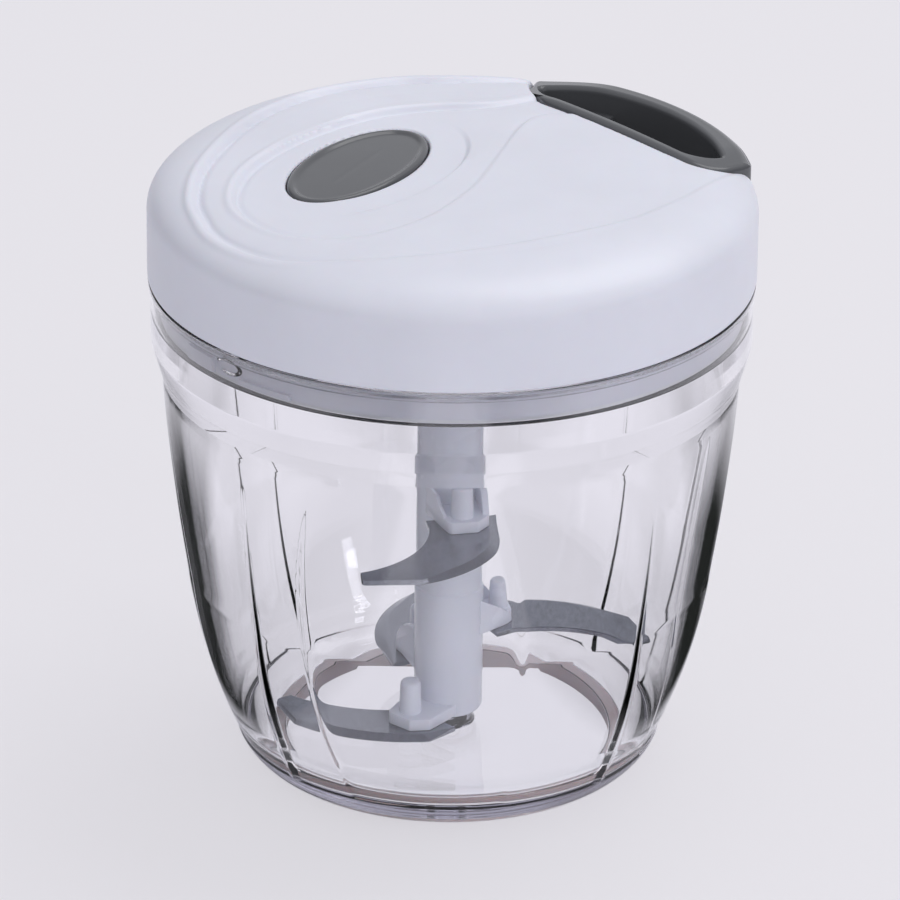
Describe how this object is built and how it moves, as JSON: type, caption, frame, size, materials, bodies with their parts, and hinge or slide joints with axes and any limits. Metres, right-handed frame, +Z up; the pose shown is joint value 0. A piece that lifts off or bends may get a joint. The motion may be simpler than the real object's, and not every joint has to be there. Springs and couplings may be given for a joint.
{
  "type": "pull-string food chopper",
  "caption": "Clear bowl with a bladed rotor under a domed lid; pulling the nested side handle unwinds a string that spins the blades.",
  "frame": {"origin": "middle of the foot's contact circle, on the table", "axes": "+Z up along the bowl's and rotor's axis; the handle pulls out along the horizontal direction 42 degrees from +X towards +Y; -Y is the side the picture shows"},
  "size_m": [0.13, 0.13, 0.1367],
  "materials": {
    "clear_plastic": "clear moulded plastic",
    "soft_ring": "soft translucent",
    "white_plastic": "satin gloss, cool white",
    "rotor_plastic": "satin, cool white",
    "grey_plastic": "glossy dark grey",
    "seal_silicone": "soft silicone",
    "brake_rubber": "matt",
    "inner_plastic": "natural acetal",
    "steel": "turned or rolled",
    "blade_steel": "ground, satin",
    "string": "braided"
  },
  "bodies": {
    "bowl": {"bowl": "clear_plastic", "antislip_ring": "soft_ring", "pivot_pin": "clear_plastic"},
    "rotor": {"blade_shaft": "rotor_plastic", "blade_pins": "rotor_plastic", "blade_top": "blade_steel", "blade_right": "blade_steel", "blade_back": "blade_steel", "blade_bottom": "blade_steel"},
    "gasket": {"lid_seal": "seal_silicone"},
    "lid": {"lid_cover": "white_plastic", "lid_base": "white_plastic", "lid_screws": "steel", "cord_guide": "steel", "pull_string": "string", "reel_axle": "steel", "spring_arbor": "inner_plastic", "axle_washer": "steel", "axle_screw": "steel", "recoil_spring": "steel", "button_springs": "steel"},
    "reel": {"cord_reel": "inner_plastic", "spring_cover": "inner_plastic", "drive_hub": "white_plastic"},
    "handle": {"pull_handle": "grey_plastic", "string_knot": "string"},
    "button": {"button_cap": "grey_plastic", "brake_pad": "brake_rubber"}
  },
  "joints": [
    {"name": "lid_lift", "type": "slide", "parent": "bowl", "child": "gasket", "axis": [0, 0, 1], "range_m": [0, 0.08]},
    {"name": "lid_turn", "type": "hinge", "parent": "gasket", "child": "lid", "pos_m": [0, 0, 0.1046], "axis": [0, 0, 1], "range_deg": [-12, 0]},
    {"name": "handle_pull", "type": "slide", "parent": "lid", "child": "handle", "axis": [0.7431, 0.6691, 0], "range_m": [0, 0.36], "stiffness_N_per_m": 12, "springref_m": -0.15},
    {"name": "reel_spin", "type": "hinge", "parent": "lid", "child": "reel", "pos_m": [0, 0, 0.1184], "axis": [0, 0, 1], "range_deg": [-5, 1299]},
    {"name": "rotor_spin", "type": "hinge", "parent": "bowl", "child": "rotor", "pos_m": [0, 0, 0.0096], "axis": [0, 0, 1], "continuous": true},
    {"name": "button_press", "type": "slide", "parent": "lid", "child": "button", "axis": [0, 0, -1], "range_m": [0, 0.0025], "stiffness_N_per_m": 500, "springref_m": -0.0015, "deforming": ["button_springs"]}
  ],
  "couplings": [
    {"joint": "reel_spin", "follows": "handle_pull", "rad_per_m": 62.696},
    {"joint": "rotor_spin", "follows": "handle_pull", "rad_per_m": 62.696}
  ]
}
